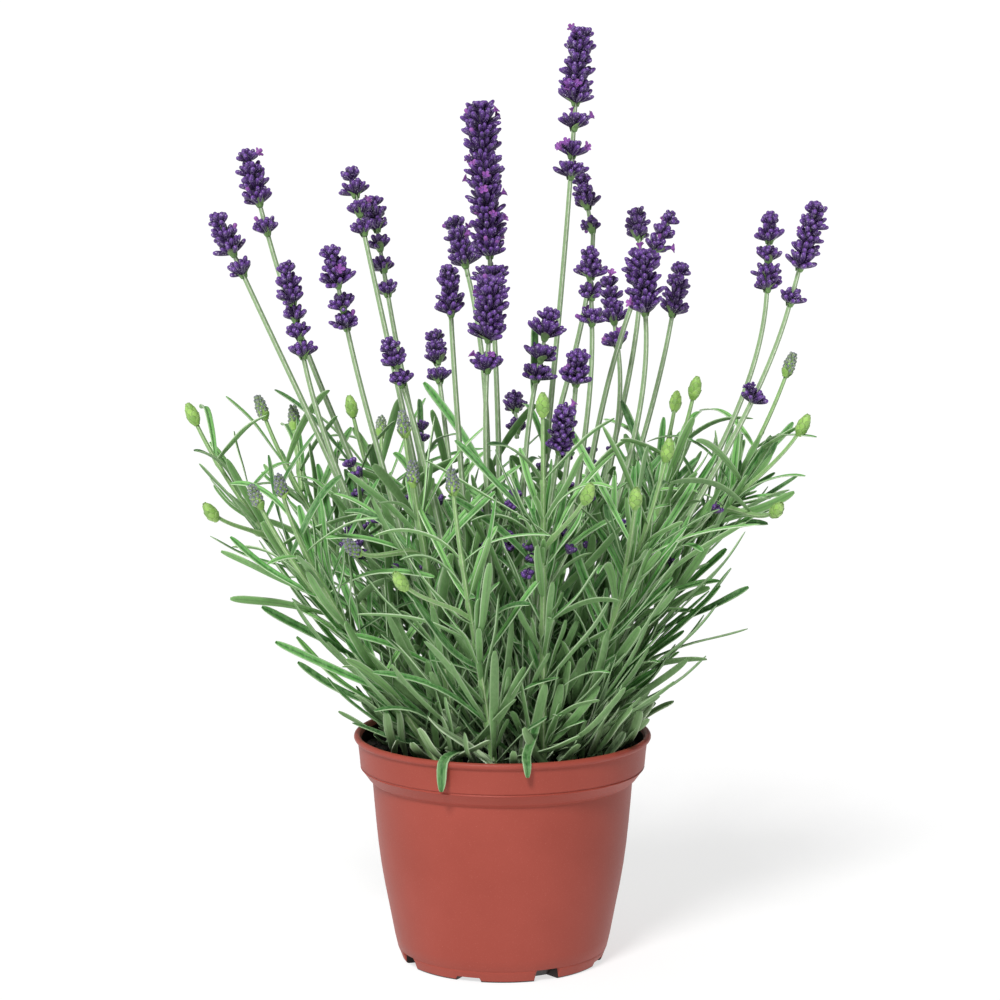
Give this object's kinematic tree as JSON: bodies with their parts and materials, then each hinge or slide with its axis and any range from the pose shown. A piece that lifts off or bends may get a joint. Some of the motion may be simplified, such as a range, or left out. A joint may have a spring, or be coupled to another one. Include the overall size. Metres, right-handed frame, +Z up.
{
  "type": "potted lavender",
  "caption": "Lavender plant with purple flower spikes on thin stalks and narrow grey-green leaves, growing in compost in a tapered round plastic nursery pot with a collar and drainage notches.",
  "frame": {"origin": "on the floor under the middle of the plant's outline, which is the pot's axis to within about two millimetres", "axes": "+Z up; the side shown in the picture faces -Y, so +X is to its right"},
  "size_m": [0.2496, 0.193, 0.375],
  "materials": {
    "pot_plastic": "matte",
    "compost": "matte",
    "stems": "matte",
    "shoots": "matte",
    "flowers": "matte"
  },
  "bodies": {
    "root": {"compost": "compost", "flower_spike_01": "flowers", "flower_spike_02": "flowers", "flower_spike_03": "flowers", "flower_spike_04": "flowers", "flower_spike_05": "flowers", "flower_spike_06": "flowers", "flower_spike_07": "flowers", "flower_spike_08": "flowers", "flower_spike_09": "flowers", "flower_spike_10": "flowers", "flower_spike_11": "flowers", "flower_spike_12": "flowers", "flower_spike_13": "flowers", "flower_spike_14": "flowers", "flower_spike_15": "flowers", "flower_spike_16": "flowers", "flower_spike_17": "flowers", "flower_spike_18": "flowers", "flower_spike_19": "flowers", "flower_spike_20": "flowers", "flower_spike_21": "flowers", "flower_spike_22": "flowers", "flower_spike_23": "flowers", "flower_spike_24": "flowers", "flower_spike_25": "flowers", "flower_spike_26": "flowers", "flower_stem_01": "stems", "flower_stem_02": "stems", "flower_stem_03": "stems", "flower_stem_04": "stems", "flower_stem_05": "stems", "flower_stem_06": "stems", "flower_stem_07": "stems", "flower_stem_08": "stems", "flower_stem_09": "stems", "flower_stem_10": "stems", "flower_stem_11": "stems", "flower_stem_12": "stems", "flower_stem_13": "stems", "flower_stem_14": "stems", "flower_stem_15": "stems", "flower_stem_16": "stems", "flower_stem_17": "stems", "flower_stem_18": "stems", "flower_stem_19": "stems", "flower_stem_20": "stems", "flower_stem_21": "stems", "flower_stem_22": "stems", "leafy_shoot_01": "shoots", "leafy_shoot_02": "shoots", "leafy_shoot_03": "shoots", "leafy_shoot_04": "shoots", "leafy_shoot_05": "shoots", "leafy_shoot_06": "shoots", "leafy_shoot_07": "shoots", "leafy_shoot_08": "shoots", "leafy_shoot_09": "shoots", "leafy_shoot_10": "shoots", "pot": "pot_plastic"}
  },
  "joints": []
}
